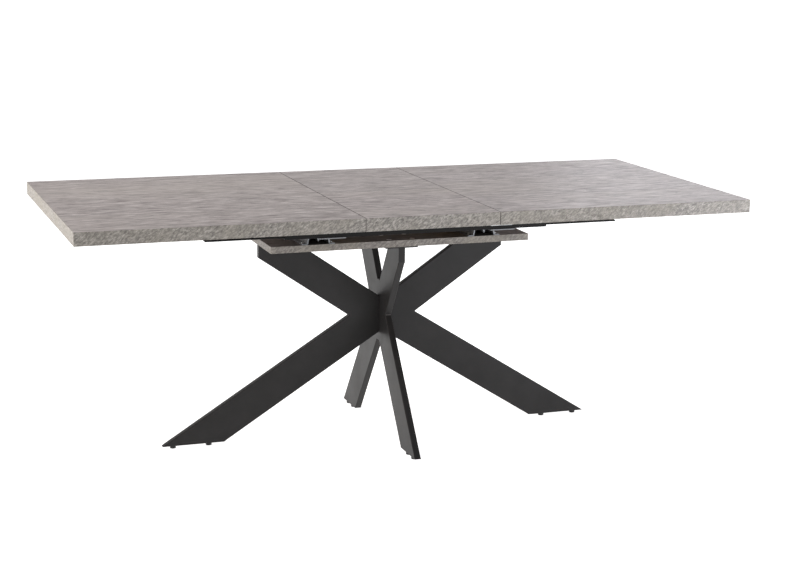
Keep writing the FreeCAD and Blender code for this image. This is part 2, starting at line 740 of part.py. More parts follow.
def make_half(side, word):
    """One sliding half: board, rim strips, edge bands and rail packers."""
    x0, x1 = sorted((side * HALF_INNER, side * HALF_OUTER))
    y0, y1 = -TOP_FRONT, TOP_FRONT
    core = (x0 + BAND, x1 - BAND, y0 + BAND, y1 - BAND)
    holes = half_screw_holes(side)
    save(f"{word}_top_board", [box(*core, BOARD_BOTTOM, TABLE_HEIGHT)])
    save(f"{word}_rim_strips", rim_strips(*core, holes))
    save(f"{word}_edge_bands", rim_bands(x0, x1, y0, y1, []))
    save(f"{word}_rail_packers", [without(block, holes) for block in packers(side)])


def ledge_places(side):
    """Where one half's ledges lie across the table."""
    places = LEFT_LEDGE_PLACES if side < 0 else RIGHT_LEDGE_PLACES
    return [way * place for way in (-1, 1) for place in places]


def ledge_screw_spots(side):
    """(x, y) of the screws through one half's ledges."""
    return [(side * (HALF_INNER + inset), y) for y in ledge_places(side) for inset in LEDGE_SCREW_INSETS]


def sunk_screw(x, y):
    """A countersunk screw, flush with a ledge's underside, that points up into the rim strip."""
    low = UNDERSIDE - LEDGE
    shank = rod(SCREW_RADIUS, (x, y, low), (0, 0, 1), LEDGE_SCREW_LENGTH)
    head = Part.makeCone(SCREW_HEAD_RADIUS, SCREW_RADIUS, SUNK_HEAD, Vector(x, y, low))
    return shank.fuse(head).removeSplitter()


def make_ledges(side, word):
    """The steel ledges under one half's inner edge, with their screws."""
    start = side * (HALF_INNER + LEDGE_SEAT)
    end = side * (HALF_INNER - LEDGE_REACH)
    half = LEDGE_WIDTH / 2
    screws = [sunk_screw(x, y) for x, y in ledge_screw_spots(side)]
    plates = [box(start, end, y - half, y + half, UNDERSIDE - LEDGE, UNDERSIDE) for y in ledge_places(side)]
    save(f"{word}_leaf_ledges", [without(plate, screws) for plate in plates])
    save(f"{word}_ledge_screws", screws)


def hinge_barrel(x, side):
    """One barrel of a concealed hinge, let into the edge where the leaf folds."""
    return rod(HINGE_BARREL_RADIUS, (x, side * FOLD_EDGE, BOARD_MIDDLE), (0, side, 0), HINGE_BARREL_DEPTH)


def make_leaf_part(side, word):
    """The front or rear part of the folding leaf."""
    x0, x1 = -LEAF_END, LEAF_END
    y0, y1 = sorted((side * FOLD_EDGE, side * TOP_FRONT))
    core = (x0 + BAND, x1 - BAND, y0 + BAND, y1 - BAND)
    barrels = [hinge_barrel(x, side) for x in HINGE_PLACES]
    save(f"leaf_{word}_board", [without(box(*core, BOARD_BOTTOM, TABLE_HEIGHT), barrels)])
    save(f"leaf_{word}_rim_strips", rim_strips(*core, []))
    save(f"leaf_{word}_edge_bands", rim_bands(x0, x1, y0, y1, barrels))
    save(f"leaf_{word}_hinge_barrels", barrels)


# ---------------------------------------------------------------- synchroniser
def rack_screws(side):
    """(x, y) of the two screws that hold a rack's head."""
    start = HALF_INNER + RACK_HEAD_INSET
    reaches = (start + RACK_SCREW_INSET, start + RACK_HEAD_LENGTH - RACK_SCREW_INSET)
    return [(side * reach, rack_middle(side)) for reach in reaches]


def rack_middle(side):
    """Middle of a rack's body across the table. The left rack passes in front of the pinion."""
    return PINION_PLACE + side * (PITCH_RADIUS + PINION_MODULE + RACK_BODY / 2)


def involute(base_radius, radius):
    """Polar angle, in radians, of an involute from its base circle out to a radius."""
    if radius <= base_radius:
        return 0.0
    slope = math.acos(base_radius / radius)
    return math.tan(slope) - slope


def pinion():
    """A spur pinion with involute flanks, one tooth straight towards each rack."""
    base = PITCH_RADIUS * math.cos(math.radians(PRESSURE_ANGLE))
    root = PITCH_RADIUS - DEDENDUM * PINION_MODULE
    tip = PITCH_RADIUS + PINION_MODULE
    half_tooth = math.pi / (2 * PINION_TEETH) - RACK_BACKLASH / (2 * PITCH_RADIUS)
    centre_to_base = half_tooth + involute(base, PITCH_RADIUS)
    radii = [root] + [base + (tip - base) * i / 3 for i in range(4)]
    flank = [(r, centre_to_base - involute(base, r)) for r in radii]
    points = []
    for tooth in range(PINION_TEETH):
        middle = 2 * math.pi * tooth / PINION_TEETH + math.pi / 2
        side_one = [(r, middle - a) for r, a in flank]
        side_two = [(r, middle + a) for r, a in reversed(flank)]
        for r, a in side_one + side_two:
            points.append((r * math.cos(a), PINION_PLACE + r * math.sin(a)))
    wheel = flat_prism(points, RACK_BOTTOM, RACK_TOP)
    bore_radius = PINION_PIN_RADIUS + PINION_BORE_CLEARANCE
    return wheel.cut(rod(bore_radius, (0, PINION_PLACE, RACK_BOTTOM), (0, 0, 1), PINION_HEIGHT))


def rack(side):
    """A rack under one half: straight teeth, with a gap of the pinion's tooth at its middle."""
    pitch = math.pi * PINION_MODULE
    lean = math.tan(math.radians(PRESSURE_ANGLE))
    height = RACK_ADDENDUM * PINION_MODULE
    depth = DEDENDUM * PINION_MODULE
    half_at_pitch = pitch / 4
    root_half = half_at_pitch + depth * lean
    tip_half = half_at_pitch - height * lean
    pitch_y = PINION_PLACE + side * PITCH_RADIUS
    tip_y = pitch_y - side * height
    root_y = pitch_y + side * depth
    back_y = pitch_y + side * (PINION_MODULE + RACK_BODY)
    # worked out for the right rack, then mirrored for the left
    tip_end = -RACK_OVERRUN
    head_start = HALF_INNER + RACK_HEAD_INSET
    head_end = head_start + RACK_HEAD_LENGTH
    count = math.floor((STROKE + RACK_OVERRUN) / pitch)
    first = -math.floor((RACK_OVERRUN - root_half) / pitch - 0.5) - 1
    points = [(tip_end, root_y)]
    for i in range(first, count):
        middle = (i + 0.5) * pitch
        points += [
            (middle - root_half, root_y),
            (middle - tip_half, tip_y),
            (middle + tip_half, tip_y),
            (middle + root_half, root_y),
        ]
    points += [(head_end, root_y), (head_end, back_y), (tip_end, back_y)]
    bar = flat_prism([(side * x, y) for x, y in points], RACK_BOTTOM, RACK_TOP)
    y = rack_middle(side)
    half = RACK_BODY / 2
    head = box(side * head_start, side * head_end, y - half, y + half, RACK_TOP, UNDERSIDE)
    span = UNDERSIDE - RACK_BOTTOM
    holes = [rod(SCREW_RADIUS, (x, y, RACK_BOTTOM), (0, 0, 1), span) for x, y in rack_screws(side)]
    return without(bar.fuse(head).removeSplitter(), holes)


def sync_plate():
    """The plate, fixed to the rear fixed rail, that carries the pinion's pin."""
    half = SYNC_PLATE_LENGTH / 2
    near = PINION_PLACE - SYNC_PLATE_MARGIN
    far = RAIL_PLACE - CHANNEL_WIDTH / 2
    floor = box(-half, half, near, far, CHANNEL_BOTTOM, CHANNEL_BOTTOM + SYNC_PLATE)
    hole = rod(PINION_PIN_RADIUS, (0, PINION_PLACE, CHANNEL_BOTTOM), (0, 0, 1), SYNC_PLATE)
    return floor.cut(hole)


def pinion_pin():
    """The pin, with a collar under the pinion and a clip over it."""
    low = CHANNEL_BOTTOM
    collar_low = CHANNEL_BOTTOM + SYNC_PLATE
    collar_top = RACK_BOTTOM - PINION_END_PLAY
    clip_low = RACK_TOP + PINION_END_PLAY
    up = (0, 0, 1)
    shank = rod(PINION_PIN_RADIUS, (0, PINION_PLACE, low), up, RACK_TOP + PIN_END - low)
    collar = rod(PIN_COLLAR_RADIUS, (0, PINION_PLACE, collar_low), up, collar_top - collar_low)
    clip = rod(PIN_COLLAR_RADIUS, (0, PINION_PLACE, clip_low), up, PIN_CLIP)
    return shank.fuse([collar, clip]).removeSplitter()


def make_synchroniser():
    """Pinion, pin, plate and both racks with their screws."""
    save("sync_pinion", [pinion()])
    save("sync_pinion_pin", [pinion_pin()])
    save("sync_plate", [sync_plate()])
    for side, word in ((-1, "left"), (1, "right")):
        save(f"{word}_sync_rack", [rack(side)])
        length = UNDERSIDE - RACK_BOTTOM + RACK_SCREW_GRIP
        screws = [pan_screw(x, y, RACK_BOTTOM, length, up=True) for x, y in rack_screws(side)]
        save(f"{word}_rack_screws", screws)


# ---------------------------------------------------------------- everything
os.makedirs("parts", exist_ok=True)
make_pedestal()
make_sub_top()
make_beams()
make_rails()
for half_side, half_word in ((-1, "left"), (1, "right")):
    make_half(half_side, half_word)
    make_ledges(half_side, half_word)
make_leaf_part(-1, "front")
make_leaf_part(1, "rear")
make_synchroniser()
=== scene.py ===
"""An extendable dining table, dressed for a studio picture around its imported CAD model.

Each sub-assembly is a class. It softens or rebuilds the pieces that show, gives every
CAD node a finish, and makes each piece ride on its own body. Sizes are in metres, in
the CAD model's own frame: X along the table, Y across it, Z up.
"""

import logging
import math
from dataclasses import dataclass, field, replace
from enum import Enum
from functools import lru_cache
from typing import Any, Iterable, Sequence

import bmesh
import bpy
from mathutils import Matrix, Vector
from mathutils.bvhtree import BVHTree


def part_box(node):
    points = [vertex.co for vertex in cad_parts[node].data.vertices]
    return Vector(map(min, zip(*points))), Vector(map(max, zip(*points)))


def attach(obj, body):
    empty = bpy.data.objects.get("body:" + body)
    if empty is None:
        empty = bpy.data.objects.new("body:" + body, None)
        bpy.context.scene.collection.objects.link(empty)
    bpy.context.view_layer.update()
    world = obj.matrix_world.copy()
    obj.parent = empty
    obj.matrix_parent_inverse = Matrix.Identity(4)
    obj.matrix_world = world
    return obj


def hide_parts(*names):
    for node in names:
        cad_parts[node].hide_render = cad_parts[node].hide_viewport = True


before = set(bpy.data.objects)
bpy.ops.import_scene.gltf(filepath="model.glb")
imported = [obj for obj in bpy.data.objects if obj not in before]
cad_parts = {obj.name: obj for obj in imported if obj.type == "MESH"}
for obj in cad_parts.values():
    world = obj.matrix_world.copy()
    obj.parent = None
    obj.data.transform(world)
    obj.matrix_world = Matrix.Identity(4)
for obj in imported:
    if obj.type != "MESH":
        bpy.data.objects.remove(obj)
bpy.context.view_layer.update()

log = logging.getLogger("table")

MM = 0.001
MERGE = 0.01 * MM  # points nearer than this are one point
TOUCH = 0.05 * MM  # faces nearer than this are in contact
BAND = 1.0 * MM  # thickness of the edge bands
FLAT_ANGLE = math.radians(0.5)  # faces within this are one flat side
CREASE_ANGLE = math.radians(30)
SHADE_ANGLE = math.radians(38)
UP = Vector((0, 0, 1))
UPRIGHT = 0.5  # a normal with more than this of Z is a level face's
SHEET_EDGE = 0.4 * MM  # softened edges of sheet steel and nylon shoes
PACKER_EDGE = 0.6 * MM  # of sawn packers
LEDGE_EDGE = 0.5 * MM
TOOTH_EDGE = 0.2 * MM
PIN_EDGE = 0.3 * MM
BEAD_SWELL = 1.22  # how much thicker a weld ripple is than the dip beside it

# sockets of the colour form of the Mix node
MIX_FACTOR, MIX_A, MIX_B, MIX_OUT = 0, 6, 7, 2


# ---------------------------------------------------------------- materials
def linear(code: str) -> tuple[float, float, float, float]:
    """Turns an sRGB hex colour into Blender's linear colour.

    Args:
        code: Six hex digits with a leading hash.

    Returns:
        Red, green, blue and an alpha of 1.
    """
    parts = [int(code[i : i + 2], 16) / 255 for i in (1, 3, 5)]
    low, high = 12.92, 1.055
    linears = [p / low if p <= 0.04045 else ((p + 0.055) / high) ** 2.4 for p in parts]
    return (*linears, 1.0)


def add_node(
    tree: bpy.types.NodeTree,
    kind: str,
    sockets: dict[Any, Any] | None = None,
    stops: Sequence[tuple[float, str]] = (),
    **settings: Any,
) -> bpy.types.Node:
    """Adds a node with its settings, values and links.

    Args:
        tree: The tree that it goes in.
        kind: Blender's name for the type of node.
        sockets: Each input's name or number, with its value or the output that feeds it.
        stops: A colour ramp's places and sRGB colours.
        settings: The node's own properties.

    Returns:
        The new node.
    """
    node = tree.nodes.new(kind)
    for name, value in settings.items():
        setattr(node, name, value)
    for index, (place, code) in enumerate(stops):
        ramp = node.color_ramp.elements
        stop = ramp[index] if index < 2 else ramp.new(place)
        stop.position, stop.color = place, linear(code)
    for key, value in (sockets or {}).items():
        if isinstance(value, bpy.types.NodeSocket):
            tree.links.new(value, node.inputs[key])
        else:
            node.inputs[key].default_value = value
    return node


def per_metre(size_mm: float) -> float:
    """The scale that gives a noise features of this size."""
    return 1 / (size_mm * MM)


@dataclass(frozen=True)
class Finish:
    """A surface finish, made once as a material and then shared.

    Subclasses state what the surface is made of and paint its pattern.
    """

    name: str
    slot: str
    colour: str
    roughness: float = 0.5
    metallic: float = 0.0
    specular: float = 0.5

    def constants(self) -> dict[str, Any]:
        """The shader's values that are the same all over."""
        return {
            "Base Color": linear(self.colour),
            "Roughness": self.roughness,
            "Metallic": self.metallic,
            "Specular IOR Level": self.specular,
        }

    def paint(self, tree: bpy.types.NodeTree, place: Any, shader: bpy.types.Node) -> None:
        """Adds the pattern; a plain finish has none."""

    def material(self) -> bpy.types.Material:
        """The finish's material, built the first time it is asked for."""
        made = bpy.data.materials.get(self.name)
        if made is not None:
            return made
        made = bpy.data.materials.new(self.name)
        made.use_nodes = True
        made.diffuse_color = linear(self.colour)
        tree = made.node_tree
        tree.nodes.clear()
        place = add_node(tree, "ShaderNodeTexCoord").outputs["Object"]
        shader = add_node(tree, "ShaderNodeBsdfPrincipled", self.constants())
        add_node(tree, "ShaderNodeOutputMaterial", {"Surface": shader.outputs[0]})
        self.paint(tree, place, shader)
        return made


@dataclass(frozen=True)
class StoneDecor(Finish):
    """Melamine decor paper with a weathered stone and oak print, pressed on chipboard.

    The print gives soft clouds, flecks and thin dark wisps; the press plate gives a
    shallow grain that dulls the gloss in streaks.
    """

    pale: str = "#ccc2c0"
    dark: str = "#645b5a"
    stain: str = "#b2a8a2"
    wisp: str = "#453f3e"
    stretch: tuple[float, float, float] = (0.15, 1.0, 1.0)
    turn: tuple[float, float, float] = (0.0, 0.0, 0.0)
    shift: tuple[float, float, float] = (0.0, 0.0, 0.0)
    fleck_mm: float = 11.0
    cloud_mm: float = 240.0
    wisp_mm: float = 34.0
    wisp_amount: float = 1.0
    stain_amount: float = 0.5
    relief_mm: float = 0.01

    def paint(self, tree: bpy.types.NodeTree, place: Any, shader: bpy.types.Node) -> None:
        """Prints the flecks, then the stains, the wisps and the pores over them."""
        turned = add_node(
            tree,
            "ShaderNodeMapping",
            {"Vector": place, "Location": self.shift, "Rotation": self.turn},
        ).outputs[0]
        grain = add_node(
            tree, "ShaderNodeMapping", {"Vector": turned, "Scale": self.stretch}
        ).outputs[0]
        fleck = add_node(
            tree,
            "ShaderNodeTexNoise",
            {"Vector": grain, "Scale": per_metre(self.fleck_mm), "Detail": 8.0, "Roughness": 0.74},
        ).outputs[0]
        print_colour = add_node(
            tree,
            "ShaderNodeValToRGB",
            {0: fleck},
            stops=((0.34, self.dark), (0.65, self.pale), (0.5, self.colour)),
        ).outputs[0]
        cloud = add_node(
            tree,
            "ShaderNodeTexNoise",
            {"Vector": grain, "Scale": per_metre(self.cloud_mm), "Detail": 4.0, "Roughness": 0.6},
        ).outputs[0]
        stained = add_node(
            tree,
            "ShaderNodeMapRange",
            {0: cloud, 1: 0.42, 2: 0.66, 3: 0.0, 4: self.stain_amount},
        ).outputs[0]
        toned = add_node(
            tree,
            "ShaderNodeMix",
            {MIX_FACTOR: stained, MIX_A: print_colour, MIX_B: linear(self.stain)},
            data_type="RGBA",
            blend_type="MIX",
        ).outputs[MIX_OUT]
        veins = add_node(
            tree,
            "ShaderNodeTexNoise",
            {
                "Vector": grain,
                "Scale": per_metre(self.wisp_mm),
                "Detail": 5.0,
                "Roughness": 0.55,
                "Distortion": 0.6,
            },
        ).outputs[0]
        off_middle = add_node(
            tree, "ShaderNodeMath", {0: veins, 1: 0.5}, operation="SUBTRACT"
        ).outputs[0]
        from_vein = add_node(
            tree, "ShaderNodeMath", {0: off_middle}, operation="ABSOLUTE"
        ).outputs[0]
        vein = add_node(
            tree,
            "ShaderNodeMapRange",
            {0: from_vein, 1: 0.0, 2: 0.022, 3: self.wisp_amount, 4: 0.0},
        ).outputs[0]
        patchy = add_node(
            tree, "ShaderNodeMath", {0: vein, 1: fleck}, operation="MULTIPLY"
        ).outputs[0]
        veined = add_node(
            tree,
            "ShaderNodeMix",
            {MIX_FACTOR: patchy, MIX_A: toned, MIX_B: linear(self.wisp)},
            data_type="RGBA",
            blend_type="MIX",
        ).outputs[MIX_OUT]
        gloss = add_node(
            tree,
            "ShaderNodeMapRange",
            {0: fleck, 1: 0.3, 2: 0.7, 3: self.roughness + 0.1, 4: self.roughness - 0.06},
        ).outputs[0]
        relief = add_node(
            tree,
            "ShaderNodeBump",
            {"Height": fleck, "Strength": 0.6, "Distance": self.relief_mm * MM},
        ).outputs[0]
        tree.links.new(veined, shader.inputs["Base Color"])
        tree.links.new(gloss, shader.inputs["Roughness"])
        tree.links.new(relief, shader.inputs["Normal"])


@dataclass(frozen=True)
class RawChipboard(Finish):
    """Pressed wood chips, unfaced: ragged pale and brown chips a few millimetres long."""

    dark: str = "#7d6344"
    pale: str = "#c4a67c"
    chip_mm: float = 4.0
    relief_mm: float = 0.3

    def paint(self, tree: bpy.types.NodeTree, place: Any, shader: bpy.types.Node) -> None:
        """Gives each chip its own tone, and a rough surface."""
        chips = add_node(
            tree,
            "ShaderNodeTexVoronoi",
            {"Vector": place, "Scale": per_metre(self.chip_mm), "Randomness": 1.0},
        )
        tone = add_node(
            tree,
            "ShaderNodeSeparateColor",
            {0: chips.outputs["Color"]},
        ).outputs[0]
        colour = add_node(
            tree,
            "ShaderNodeValToRGB",
            {0: tone},
            stops=((0.0, self.dark), (1.0, self.pale), (0.45, self.colour)),
        ).outputs[0]
        relief = add_node(
            tree,
            "ShaderNodeBump",
            {
                "Height": chips.outputs["Distance"],
                "Strength": 0.5,
                "Distance": self.relief_mm * MM,
            },
        ).outputs[0]
        tree.links.new(colour, shader.inputs["Base Color"])
        tree.links.new(relief, shader.inputs["Normal"])


@dataclass(frozen=True)
class PowderCoat(Finish):
    """Baked powder on steel: matt, with a fine orange peel and a little dust in the tone.

    The real peel is finer than it is drawn here, so that it shows at all.
    """

    fresh: str = "#3a3938"
    peel_mm: float = 2.2
    peel_height_mm: float = 0.03
    cloud_mm: float = 120.0

    def paint(self, tree: bpy.types.NodeTree, place: Any, shader: bpy.types.Node) -> None:
        """Adds the peel and a slow change of tone and gloss."""
        peel = add_node(
            tree,
            "ShaderNodeTexNoise",
            {"Vector": place, "Scale": per_metre(self.peel_mm), "Detail": 2.0},
        ).outputs[0]
        cloud = add_node(
            tree,
            "ShaderNodeTexNoise",
            {"Vector": place, "Scale": per_metre(self.cloud_mm), "Detail": 5.0, "Roughness": 0.6},
        ).outputs[0]
        colour = add_node(
            tree,
            "ShaderNodeValToRGB",
            {0: cloud},
            stops=((0.35, self.colour), (0.7, self.fresh)),
        ).outputs[0]
        gloss = add_node(
            tree,
            "ShaderNodeMapRange",
            {0: cloud, 1: 0.3, 2: 0.7, 3: self.roughness - 0.05, 4: self.roughness + 0.06},
        ).outputs[0]
        relief = add_node(
            tree,
            "ShaderNodeBump",
            {"Height": peel, "Strength": 0.5, "Distance": self.peel_height_mm * MM},
        ).outputs[0]
        tree.links.new(colour, shader.inputs["Base Color"])
        tree.links.new(gloss, shader.inputs["Roughness"])
        tree.links.new(relief, shader.inputs["Normal"])


@dataclass(frozen=True)
class BareMetal(Finish):
    """Plated or rolled metal: fine lines along one axis, with duller and brighter patches."""

    bright: str = "#c9cbcc"
    stretch: tuple[float, float, float] = (1.0, 1.0, 1.0)
    line_mm: float = 0.8
    patch_mm: float = 14.0

    def paint(self, tree: bpy.types.NodeTree, place: Any, shader: bpy.types.Node) -> None:
        """Adds crystals of slightly different tone and the fine lines of the rolls."""
        crystals = add_node(
            tree,
            "ShaderNodeTexVoronoi",
            {"Vector": place, "Scale": per_metre(self.patch_mm), "Randomness": 1.0},
        ).outputs["Color"]
        tone = add_node(tree, "ShaderNodeSeparateColor", {0: crystals}).outputs[0]
        colour = add_node(
            tree,
            "ShaderNodeValToRGB",
            {0: tone},
            stops=((0.0, self.colour), (1.0, self.bright)),
        ).outputs[0]
        along = add_node(
            tree, "ShaderNodeMapping", {"Vector": place, "Scale": self.stretch}
        ).outputs[0]
        lines = add_node(
            tree,
            "ShaderNodeTexNoise",
            {"Vector": along, "Scale": per_metre(self.line_mm), "Detail": 3.0},
        ).outputs[0]
        gloss = add_node(
            tree,
            "ShaderNodeMapRange",
            {0: lines, 1: 0.3, 2: 0.7, 3: self.roughness - 0.08, 4: self.roughness + 0.1},
        ).outputs[0]
        relief = add_node(
            tree,
            "ShaderNodeBump",
            {"Height": lines, "Strength": 0.3, "Distance": 0.02 * MM},
        ).outputs[0]
        tree.links.new(colour, shader.inputs["Base Color"])
        tree.links.new(gloss, shader.inputs["Roughness"])
        tree.links.new(relief, shader.inputs["Normal"])


@dataclass(frozen=True)
class MouldedPlastic(Finish):
    """Injection-moulded plastic with a spark-eroded grain, slightly rubbed in patches."""

    rubbed: str = "#1c1c1c"
    grain_mm: float = 0.9
    rub_mm: float = 25.0

    def paint(self, tree: bpy.types.NodeTree, place: Any, shader: bpy.types.Node) -> None:
        """Adds the grain and the rubbed patches."""
        grain = add_node(
            tree,
            "ShaderNodeTexNoise",
            {"Vector": place, "Scale": per_metre(self.grain_mm), "Detail": 2.0},
        ).outputs[0]
        rubs = add_node(
            tree,
            "ShaderNodeTexNoise",
            {"Vector": place, "Scale": per_metre(self.rub_mm), "Detail": 4.0},
        ).outputs[0]
        colour = add_node(
            tree,
            "ShaderNodeValToRGB",
            {0: rubs},
            stops=((0.4, self.colour), (0.75, self.rubbed)),
        ).outputs[0]
        gloss = add_node(
            tree,
            "ShaderNodeMapRange",
            {0: rubs, 1: 0.3, 2: 0.7, 3: self.roughness + 0.06, 4: self.roughness - 0.06},
        ).outputs[0]
        relief = add_node(
            tree,
            "ShaderNodeBump",
            {"Height": grain, "Strength": 0.4, "Distance": 0.03 * MM},
        ).outputs[0]
        tree.links.new(colour, shader.inputs["Base Color"])
        tree.links.new(gloss, shader.inputs["Roughness"])
        tree.links.new(relief, shader.inputs["Normal"])


# The boards share one print; the base tones rise a little from left to right as painted light,
# brighter towards the right end.
LEFT_DECOR = StoneDecor("melamine_decor_left", "wood_decor", "#a39896", 0.42, shift=(3.1, 0.4, 0.0))
RIGHT_DECOR = StoneDecor(
    "melamine_decor_right", "wood_decor", "#a89e9e", 0.42, shift=(7.7, 2.3, 0.0)
)
LEAF_FRONT_DECOR = StoneDecor(
    "melamine_decor_leaf_front", "wood_decor", "#a59a99", 0.42, shift=(11.2, 5.1, 0.0)
)
LEAF_REAR_DECOR = StoneDecor(
    "melamine_decor_leaf_rear", "wood_decor", "#a59b9a", 0.42, shift=(14.9, 8.6, 0.0)
)
EDGE_DECOR = StoneDecor(
    "abs_edge_stone_print",
    "edge_decor",
    "#827d77",
    0.5,
    pale="#aca7a0",
    dark="#464340",
    stain="#807a6e",
    wisp="#45413d",
    stretch=(0.3, 1.0, 1.0),
    turn=(0.5, 0.7, 0.0),
    fleck_mm=5.0,
    cloud_mm=90.0,
    wisp_mm=11.0,
    wisp_amount=1.0,
    stain_amount=0.45,
)
# The sub-top's edge band is the top's edge band painted darker: painted shade under the top.
SHADED_SUB_EDGE_DECOR = replace(
    EDGE_DECOR, name="abs_edge_sub_top_painted_shade", colour="#6c6762", pale="#918c86", dark="#3b3936"
)
# The sub-top carries the top's stone print, painted darker here as painted shade under the top.
SHADED_SUB_TOP_DECOR = StoneDecor(
    "melamine_decor_sub_top_painted_shade", "sub_top_decor", "#4b4744", 0.6, pale="#5f5a56", dark="#383431",
    stain="#4a4641", shift=(19.3, 1.7, 0.0),
)
# Dark finish for the band faces at the seams: a painted shadow of the narrow gap between boards.
SEAM_SHADOW = MouldedPlastic("seam_band_painted_shadow", "edge_decor", "#4a4542", 0.6, rubbed="#57514d")
CHIPBOARD = RawChipboard("raw_chipboard", "raw_board", "#a5875f", 0.85)
POWDER = PowderCoat(
    "anthracite_powder_coat", "powder_coat", "#1f1e1e", 0.45, specular=0.2, fresh="#272626"
)
# The weld beads get a lighter copy of the leg's powder coat: a painted highlight across each notch.
WELD_HIGHLIGHT_COAT = PowderCoat(
    "powder_coat_weld_painted_highlight", "powder_coat", "#454342", 0.42, specular=0.3, fresh="#55524f"
)
# The rails' own black paint, pushed darker still as painted shade under the top's front edge.
RAIL_BLACK_AND_SHADE = PowderCoat(
    "black_rail_paint_and_painted_shade",
    "rail_black",
    "#0a0a0a",
    0.5,
    specular=0.15,
    fresh="#101010",
    peel_mm=1.6,
    cloud_mm=60.0,
)
ZINC = BareMetal("zinc_plated_steel", "fastener_steel", "#a9abad", 0.34, 1.0)
BEAM_SHEET = BareMetal(
    "galvanised_sheet", "beam_steel", "#77797b", 0.6, 1.0, bright="#85878a",
    stretch=(1.0, 0.05, 1.0), patch_mm=9.0,
)
HINGE_NICKEL = BareMetal(
    "satin_nickel_hinge", "hinge_metal", "#9c968c", 0.3, 1.0, bright="#b4aea4", patch_mm=30.0
)
BLACK_PLASTIC = MouldedPlastic("black_glide_plastic", "glide_plastic", "#101010", 0.55)
NYLON = MouldedPlastic("natural_nylon", "nylon", "#cfccc2", 0.4, rubbed="#dedbd2")


# ---------------------------------------------------------------- mesh work
@lru_cache(maxsize=None)
def neighbour_tree(node: str) -> BVHTree:
    """The surface of a CAD node, ready for nearest-point questions."""
    mesh = bmesh.new()
    mesh.from_mesh(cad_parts[node].data)
    tree = BVHTree.FromBMesh(mesh)
    mesh.free()
    return tree


def neighbours(node: str) -> list[BVHTree]:
    """The surfaces of the CAD nodes whose boxes meet this node's box."""
    low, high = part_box(node)
    near = []
    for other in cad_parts:
        other_low, other_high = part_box(other)
        meets = all(
            low[i] - TOUCH < other_high[i] and other_low[i] - TOUCH < high[i] for i in range(3)
        )
        if other != node and meets:
            near.append(neighbour_tree(other))
    return near


def cad_solids(node: str) -> list[bmesh.types.BMesh]:
    """A merged copy of each solid of a CAD node, with one face for each flat side.

    Two solids that touch stay apart: faces join only across an edge that two faces share,
    and an edge on which two solids meet has four.
    """
    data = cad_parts[node].data
    points = [tuple(round(c / MERGE) for c in vertex.co) for vertex in data.vertices]
    sides: dict[frozenset, list[int]] = {}
    for face in data.polygons:
        ring = [points[i] for i in face.vertices]
        for pair in zip(ring, ring[1:] + ring[:1]):
            sides.setdefault(frozenset(pair), []).append(face.index)
    beside: dict[int, list[int]] = {face.index: [] for face in data.polygons}
    for faces in sides.values():
        if len(faces) == 2:
            beside[faces[0]].append(faces[1])
            beside[faces[1]].append(faces[0])
    solids = []
    waiting = set(beside)
    for first in beside:
        if first not in waiting:
            continue
        waiting.discard(first)
        stack, mesh, placed = [first], bmesh.new(), {}
        while stack:
            face = stack.pop()
            ring = []
            for i in data.polygons[face].vertices:
                if points[i] not in placed:
                    placed[points[i]] = mesh.verts.new(data.vertices[i].co)
                if placed[points[i]] not in ring:
                    ring.append(placed[points[i]])
            if len(ring) > 2:
                mesh.faces.new(ring)
            for other in beside[face]:
                if other in waiting:
                    waiting.discard(other)
                    stack.append(other)
        bmesh.ops.dissolve_limit(
            mesh, angle_limit=FLAT_ANGLE, verts=mesh.verts[:], edges=mesh.edges[:]
        )
        solids.append(mesh)
    return solids


def absorb(whole: bmesh.types.BMesh, part: bmesh.types.BMesh) -> None:
    """Adds a part to a mesh as a shell of its own, and frees the part."""
    data = bpy.data.meshes.new("part")
    part.to_mesh(data)
    part.free()
    whole.from_mesh(data)
    bpy.data.meshes.remove(data)


def creases(mesh: bmesh.types.BMesh, least: float = 0.0) -> list[bmesh.types.BMEdge]:
    """The sharp edges of a mesh.

    Args:
        mesh: The mesh.
        least: Edges shorter than this are left out.

    Returns:
        The edges between two faces that meet at more than the crease angle.
    """
    mesh.normal_update()
    return [
        edge
        for edge in mesh.edges
        if len(edge.link_faces) == 2
        and edge.calc_length() >= least
        and edge.calc_face_angle(0.0) > CREASE_ANGLE
    ]


def round_edges(
    mesh: bmesh.types.BMesh, edges: list[bmesh.types.BMEdge], radius: float, segments: int
) -> None:
    """Rounds edges with a bevel."""
    bmesh.ops.bevel(
        mesh,
        geom=edges,
        offset=radius,
        offset_type="OFFSET",
        segments=segments,
        profile=0.5,
        affect="EDGES",
        material=-1,
        clamp_overlap=True,
    )


def islands(node: str) -> list[list[Vector]]:
    """The points of each separate solid of a CAD node, in a steady order."""
    mesh = bmesh.new()
    mesh.from_mesh(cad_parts[node].data)
    bmesh.ops.remove_doubles(mesh, verts=mesh.verts[:], dist=MERGE)
    waiting = set(mesh.verts)
    found = []
    for first in mesh.verts:
        if first not in waiting:
            continue
        waiting.discard(first)
        stack, island = [first], [first.co.copy()]
        while stack:
            point = stack.pop()
            for edge in point.link_edges:
                other = edge.other_vert(point)
                if other in waiting:
                    waiting.discard(other)
                    stack.append(other)
                    island.append(other.co.copy())
        found.append(island)
    mesh.free()
    return sorted(found, key=lambda points: tuple(round(c, 5) for c in min(points)[:]))


def extent(points: Iterable[Vector]) -> tuple[Vector, Vector]:
    """The lowest and highest corner of some points."""
    listed = list(points)
    low = Vector([min(p[i] for p in listed) for i in range(3)])
    high = Vector([max(p[i] for p in listed) for i in range(3)])
    return low, high


